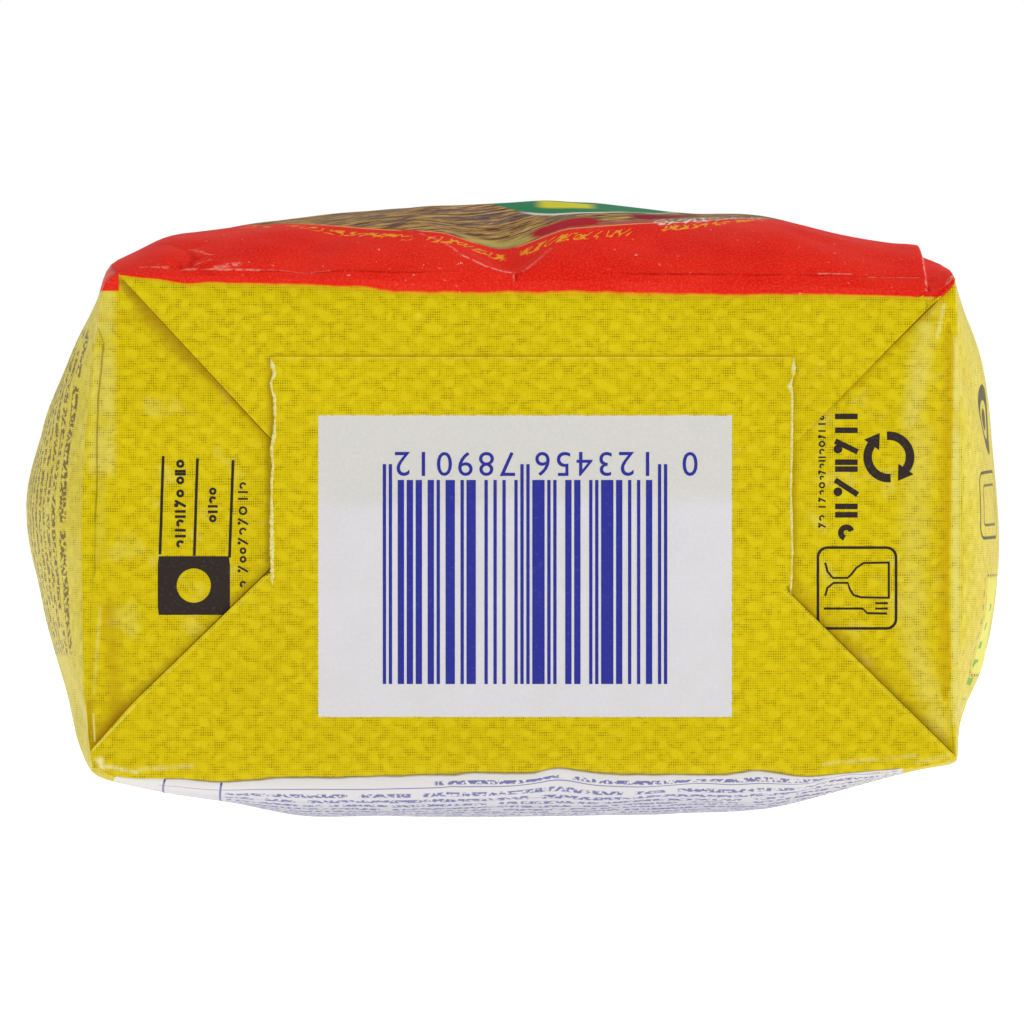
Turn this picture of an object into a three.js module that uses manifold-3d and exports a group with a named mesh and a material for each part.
// A filled one-kilogram paper bag of semolina flour. Millimetres, +Z up.
// The bag lies on its back panel: its folded base faces -Y, its folded top faces +Y, its front panel is up.
// It is one closed solid. A four-panel tube swells between its corner creases, and each end carries the
// folded closure: two tucked side ears, an inner flap from the front and an outer flap from the back.
import * as THREE from "three";
import { mergeVertices } from "three/addons/utils/BufferGeometryUtils.js";
import Module from "manifold-3d";

const wasm = await Module();
wasm.setup();

// ---------------------------------------------------------------- driving dimensions
const LENGTH = 190; // base plane to top plane, without the flaps' paper
const HALF_WIDTH = 47.5; // the squarer top end is 95 wide
const HALF_DEPTH = 26.5; // and 53 from front to back

// The four corners of the base as it was really folded, in x and z from its middle, then of the top,
// then of the swollen body just behind either end, where the corner creases stand out a little.
const BASE_CORNERS = {
  frontLeft: [-45.5, 27.4],
  frontRight: [47.5, 27.4],
  backRight: [47.5, -24.9],
  backLeft: [-48, -25.6],
};
const TOP_CORNERS = {
  frontLeft: [-HALF_WIDTH, HALF_DEPTH],
  frontRight: [HALF_WIDTH, HALF_DEPTH],
  backRight: [HALF_WIDTH, -HALF_DEPTH],
  backLeft: [-HALF_WIDTH, -HALF_DEPTH],
};
const BODY_CORNERS = {
  frontLeft: [-47.8, 30],
  frontRight: [47.6, 30],
  backRight: [48.6, -26.4],
  backLeft: [-48.9, -27.6],
};

// The four panels, clockwise as seen from -Y. A panel's place across is s, from -1 to 1.
// swells: how far the filled panel stands over the line between its body corners, as pairs of s and mm.
// bow: how far the base's own fold line is bent outwards half way along the panel.
// shoulder: how far along the bag the panel takes to roll off the end.
const PANELS = [
  {
    name: "front",
    corners: ["frontLeft", "frontRight"],
    normal: [0, 1],
    swells: [[-1, 0], [-0.93, 1.6], [-0.78, 4], [-0.42, 6.2], [0.08, 7.7], [0.5, 6.3], [0.8, 3.6], [0.94, 2], [1, 0]],
    bow: -1.4,
    shoulder: 34,
    divisions: 26,
  },
  {
    name: "right",
    corners: ["frontRight", "backRight"],
    normal: [1, 0],
    swells: [[-1, 0], [-0.83, 1.8], [-0.65, 3.6], [-0.33, 4.9], [0.17, 5.7], [0.57, 4.1], [0.8, 1.5], [1, 0]],
    bow: 0,
    shoulder: 26,
    divisions: 14,
  },
  {
    name: "back",
    corners: ["backRight", "backLeft"],
    normal: [0, -1],
    swells: [[-1, 0], [-0.8, 1.2], [-0.57, 4.4], [-0.35, 6], [0, 6.6], [0.5, 6.3], [0.68, 4.4], [0.88, 1.9], [1, 0]],
    bow: 1.9,
    shoulder: 24,
    divisions: 20,
  },
  {
    name: "left", // a roof, because the old middle crease stands out
    corners: ["backLeft", "frontLeft"],
    normal: [-1, 0],
    swells: [[-1, 0], [-0.85, 2.2], [-0.45, 5], [0.03, 8.9], [0.1, 8.9], [0.5, 5.6], [0.85, 1.9], [1, 0]],
    bow: 0,
    shoulder: 30,
    divisions: 16,
  },
];
const FLOOR_BELOW_MIDDLE = 33; // the back panel is pressed flat here
const SHOULDER_POWER = 0.62;
const MID_LENGTH_GAIN = 0.05; // the swelling still grows by this share towards mid-length

// The lengthwise glued overlap on the front panel, near its right crease.
const SEAM = { share: 0.935, step: 0.55, width: 0.25 };

// The folded ends.
const PAPER = 0.45; // each layer of folded paper, with the air in it
const SINK = 1.5; // how deep a flap's plate is rooted in the body
const EDGE_ROUND = 0.7; // the fold line lies this far behind the end's plane
const RIM_INSET = 0.4; // a flap's plate starts this far inside the fold line
const FLAP_LENGTH = 46.3; // the outer flap's reach from the back edge to its free edge
const TONGUE_LEFT = -28.1; // the cut ends of the outer flap
const TONGUE_RIGHT = 29.5;
const TONGUE_FOOT = -7; // where the cut ends meet the diagonal folds
const EAR_DEPTH = 18; // where the diagonal folds stop, in from the side edges
const GROOVE = { inset: 1.7, width: 1, depth: 0.6 }; // the valley beside the right-hand fold of the base

// Creases pressed into the panels: place across at the line's two ends in mm from the panel's middle,
// length along at the two ends, half width and depth.
const DENTS = [
  { panel: "front", across: [-1, -10], along: [2, 15], width: 3.2, depth: 1.7 },
  { panel: "front", across: [-25, -22], along: [3, 11], width: 3, depth: 1 },
  { panel: "back", across: [-3, 4], along: [1, 8], width: 4, depth: 0.8 },
  { panel: "left", across: [-24, -18], along: [2, 18], width: 2.6, depth: 1.2 },
  { panel: "right", across: [18, 12], along: [2, 22], width: 3.5, depth: 1.2 },
];

// How finely the faces are divided along the bag, and inwards over an end.
const STATIONS = [0, 0.7, 1.8, 3.2, 5, 7.5, 10.5, 14, 18.5, 24, 31, 42, 56, 74];
const CAP_INSETS = [0.8, 1.3, 1.8, 2.3, 3.2, 5, 12];

// ---------------------------------------------------------------- the body's shape
const clamp = (v, low, high) => Math.min(high, Math.max(low, v));
const lerp = (a, b, t) => a + (b - a) * t;

// A smooth curve through pairs of place and height.
function smoothThrough(pairs, at) {
  const last = pairs.length - 1;
  const slope = (i) => {
    const [x0, y0] = pairs[Math.max(i - 1, 0)];
    const [x1, y1] = pairs[Math.min(i + 1, last)];
    return (y1 - y0) / (x1 - x0);
  };
  const found = pairs.findIndex(([x]) => x > at);
  const i = found < 0 ? last - 1 : Math.max(found - 1, 0);
  const [x0, y0] = pairs[i];
  const [x1, y1] = pairs[i + 1];
  const run = x1 - x0;
  const t = clamp((at - x0) / run, 0, 1);
  const blend = t * t * (3 - 2 * t);
  const leave = slope(i) * run * t * (1 - t) * (1 - t);
  const arrive = slope(i + 1) * run * t * t * (1 - t);
  return lerp(y0, y1, blend) + leave - arrive;
}

// The share of the full swelling at a distance from the nearer end.
function swell(fromEnd, shoulder) {
  const rise = clamp(fromEnd / shoulder, 0, 1);
  return (1 - (1 - rise) ** 2) ** SHOULDER_POWER;
}

// A corner crease at a distance from the base.
function cornerAt(name, along) {
  const fromEnd = Math.min(along, LENGTH - along);
  const end = (along < LENGTH / 2 ? BASE_CORNERS : TOP_CORNERS)[name];
  const body = BODY_CORNERS[name];
  const share = swell(fromEnd, 20);
  return [lerp(end[0], body[0], share), lerp(end[1], body[1], share)];
}

// How far the dents push a panel in at a place, with a round-bottomed section across each line.
function dentAt(panel, across, along) {
  let depth = 0;
  for (const dent of DENTS.filter((d) => d.panel === panel)) {
    const dx = dent.across[1] - dent.across[0];
    const dy = dent.along[1] - dent.along[0];
    const px = across - dent.across[0];
    const py = along - dent.along[0];
    const share = clamp((px * dx + py * dy) / (dx * dx + dy * dy), 0, 1);
    const away = Math.hypot(px - share * dx, py - share * dy) / dent.width;
    depth += dent.depth * Math.exp(-away * away) * (1 - 0.6 * share);
  }
  return depth;
}

// The step up, from the right crease towards the middle, at the lengthwise seam's edge.
function seamAt(panel, s, halfChord) {
  if (panel.name !== "front") return 0;
  const past = ((SEAM.share - s) * halfChord) / SEAM.width + 0.5;
  return SEAM.step * clamp(past, 0, 1) * clamp((s - 0.4) / 0.4, 0, 1);
}

function wallPoint(panel, s, along) {
  const [a, b] = panel.corners.map((name) => cornerAt(name, along));
  const halfChord = Math.hypot(b[0] - a[0], b[1] - a[1]) / 2;
  const fromEnd = Math.min(along, LENGTH - along);
  const risen = swell(fromEnd, panel.shoulder);
  const gain = 1 + MID_LENGTH_GAIN * Math.sin((Math.PI * fromEnd) / LENGTH);
  let out = smoothThrough(panel.swells, s) * risen * gain;
  if (along < LENGTH / 2) out += panel.bow * (1 - s ** 4) * (1 - risen);
  out -= dentAt(panel.name, s * halfChord, along) * clamp(fromEnd / 2, 0, 1);
  out += seamAt(panel, s, halfChord) * clamp(fromEnd / 3, 0, 1);
  const x = lerp(a[0], b[0], (s + 1) / 2) + panel.normal[0] * out;
  const z = lerp(a[1], b[1], (s + 1) / 2) + panel.normal[1] * out;
  return [x, Math.max(-FLOOR_BELOW_MIDDLE, z)];
}

// The places round the tube where a lengthwise line of vertices runs.
function roundTheTube() {
  const places = [];
  for (const panel of PANELS) {
    const own = [];
    for (let i = 0; i < panel.divisions; i++) own.push(-1 + (2 * i) / panel.divisions);
    if (panel.name === "front") own.push(SEAM.share - 0.003, SEAM.share + 0.003);
    own.sort((a, b) => a - b);
    for (const s of own) places.push({ panel, s });
  }
  return places;
}

// The end's own relief: the valley beside the base's right-hand fold.
function capDepth(x, z, isBase) {
  if (!isBase) return 0;
  const across = (HALF_WIDTH - x - GROOVE.inset) / GROOVE.width;
  const inside = clamp((HALF_DEPTH - 5 - Math.abs(z)) / 5, 0, 1);
  return GROOVE.depth * Math.exp(-across * across) * inside;
}

// ---------------------------------------------------------------- the body's mesh
function bodyGeometry() {
  const places = roundTheTube();
  const count = places.length;
  const alongs = [...STATIONS, LENGTH / 2, ...STATIONS.map((t) => LENGTH - t).reverse()];
  const rings = [];

  const capRing = (inset, isBase) => {
    const along = isBase ? 0 : LENGTH;
    return places.map(({ panel, s }) => {
      const [x, z] = wallPoint(panel, s, along);
      const cx = x * (1 - inset / HALF_WIDTH);
      const cz = z * (1 - inset / HALF_DEPTH);
      const rounding = EDGE_ROUND * clamp(1 - inset / 2, 0, 1) ** 2;
      const depth = rounding + capDepth(cx, cz, isBase);
      return [cx, isBase ? depth : LENGTH - depth, cz];
    });
  };
  for (const inset of [...CAP_INSETS].reverse()) rings.push(capRing(inset, true));
  for (const along of alongs) {
    const setBack = EDGE_ROUND * clamp(1 - Math.min(along, LENGTH - along), 0, 1);
    const y = along < LENGTH / 2 ? along + setBack : along - setBack;
    rings.push(places.map(({ panel, s }) => {
      const [x, z] = wallPoint(panel, s, along);
      return [x, y, z];
    }));
  }
  for (const inset of CAP_INSETS) rings.push(capRing(inset, false));

  const positions = rings.flat(2);
  const baseMiddle = positions.length / 3;
  positions.push(0, 0, 0, 0, LENGTH, 0);
  const index = [];
  for (let r = 0; r + 1 < rings.length; r++) {
    for (let i = 0; i < count; i++) {
      const a = r * count + i;
      const b = r * count + ((i + 1) % count);
      index.push(a, b, a + count, b, b + count, a + count);
    }
  }
  const last = (rings.length - 1) * count;
  for (let i = 0; i < count; i++) {
    const next = (i + 1) % count;
    index.push(baseMiddle, next, i, baseMiddle + 1, last + i, last + next);
  }
  const geometry = new THREE.BufferGeometry();
  geometry.setAttribute("position", new THREE.Float32BufferAttribute(positions, 3));
  geometry.setIndex(index);
  return geometry;
}

// ---------------------------------------------------------------- the folded flaps
// A plate of the given outline, in x and z, standing out of the base's plane by its height.
function plate(outline, height) {
  const shape = new THREE.Shape(outline.map(([x, z]) => new THREE.Vector2(x, z)));
  const geometry = new THREE.ExtrudeGeometry(shape, { depth: height + SINK, bevelEnabled: false });
  geometry.rotateX(Math.PI / 2);
  geometry.translate(0, SINK, 0);
  return geometry;
}

// The fold line of one panel at an end, a little inside, from left to right.
function foldLine(name, along) {
  const panel = PANELS.find((p) => p.name === name);
  const line = [];
  for (let i = 0; i <= 12; i++) {
    const [x, z] = wallPoint(panel, -1 + i / 6, along);
    line.push([x * (1 - RIM_INSET / HALF_WIDTH), z * (1 - RIM_INSET / HALF_DEPTH)]);
  }
  return name === "back" ? line.reverse() : line;
}

// The point where the 45 degree fold that starts at a corner crosses the vertical line at x.
function onDiagonal(corner, x) {
  return [x, corner[1] - Math.sign(corner[1]) * Math.abs(x - corner[0])];
}

// The inner flap, folded down from the front panel over both ears. It runs on beneath the outer flap.
function innerFlap(along) {
  const edge = foldLine("front", along);
  const leftEnd = onDiagonal(edge[0], edge[0][0] + EAR_DEPTH);
  const rightEnd = onDiagonal(edge[12], edge[12][0] - EAR_DEPTH);
  return plate([...edge, rightEnd, [rightEnd[0], -12], [leftEnd[0], -12], leftEnd], PAPER);
}

// The outer flap, folded up from the back panel: a trapezium between the diagonal folds.
function outerFlap(along) {
  const edge = foldLine("back", along);
  return plate([...edge, onDiagonal(edge[12], TONGUE_RIGHT), onDiagonal(edge[0], TONGUE_LEFT)], PAPER);
}

// Its free end, a straight strip with two cut edges, which lies over the inner flap.
function tongue() {
  const high = -HALF_DEPTH + FLAP_LENGTH;
  const outline = [
    [TONGUE_LEFT, TONGUE_FOOT],
    [TONGUE_LEFT, high],
    [TONGUE_RIGHT, high],
    [TONGUE_RIGHT, TONGUE_FOOT],
  ];
  return plate(outline, 2 * PAPER);
}

// ---------------------------------------------------------------- solids
function toSolid(geometry) {
  const bare = geometry.clone();
  for (const name of ["normal", "uv"]) bare.deleteAttribute(name);
  const merged = mergeVertices(bare, 1e-4);
  return new wasm.Manifold(
    new wasm.Mesh({
      numProp: 3,
      vertProperties: new Float32Array(merged.attributes.position.array),
      triVerts: new Uint32Array(merged.index.array),
    }),
  );
}

function toGeometry(solid) {
  const mesh = solid.getMesh();
  const geometry = new THREE.BufferGeometry();
  geometry.setAttribute("position", new THREE.Float32BufferAttribute(mesh.vertProperties, 3));
  geometry.setIndex(new THREE.BufferAttribute(mesh.triVerts, 1));
  geometry.computeVertexNormals();
  return geometry;
}

function bagSolid() {
  let solid = toSolid(bodyGeometry());
  for (const geometry of [innerFlap(0), outerFlap(0), tongue()]) solid = solid.add(toSolid(geometry));
  for (const geometry of [innerFlap(LENGTH), outerFlap(LENGTH), tongue()]) {
    geometry.rotateZ(Math.PI);
    geometry.translate(0, LENGTH, 0);
    solid = solid.add(toSolid(geometry));
  }
  return solid;
}

// ---------------------------------------------------------------- the scene
const printedPaper = new THREE.MeshStandardMaterial({ color: 0xcfba14, roughness: 0.5, metalness: 0 });

const semolinaFlourBag = new THREE.Group();
const bag = new THREE.Mesh(toGeometry(bagSolid()), printedPaper);
bag.name = "bag";
const extent = new THREE.Box3().setFromObject(bag);
const sideways = -(extent.min.x + extent.max.x) / 2; // the left side swells more than the right
bag.position.set(sideways, -LENGTH / 2, FLOOR_BELOW_MIDDLE);
semolinaFlourBag.add(bag);

export default semolinaFlourBag;
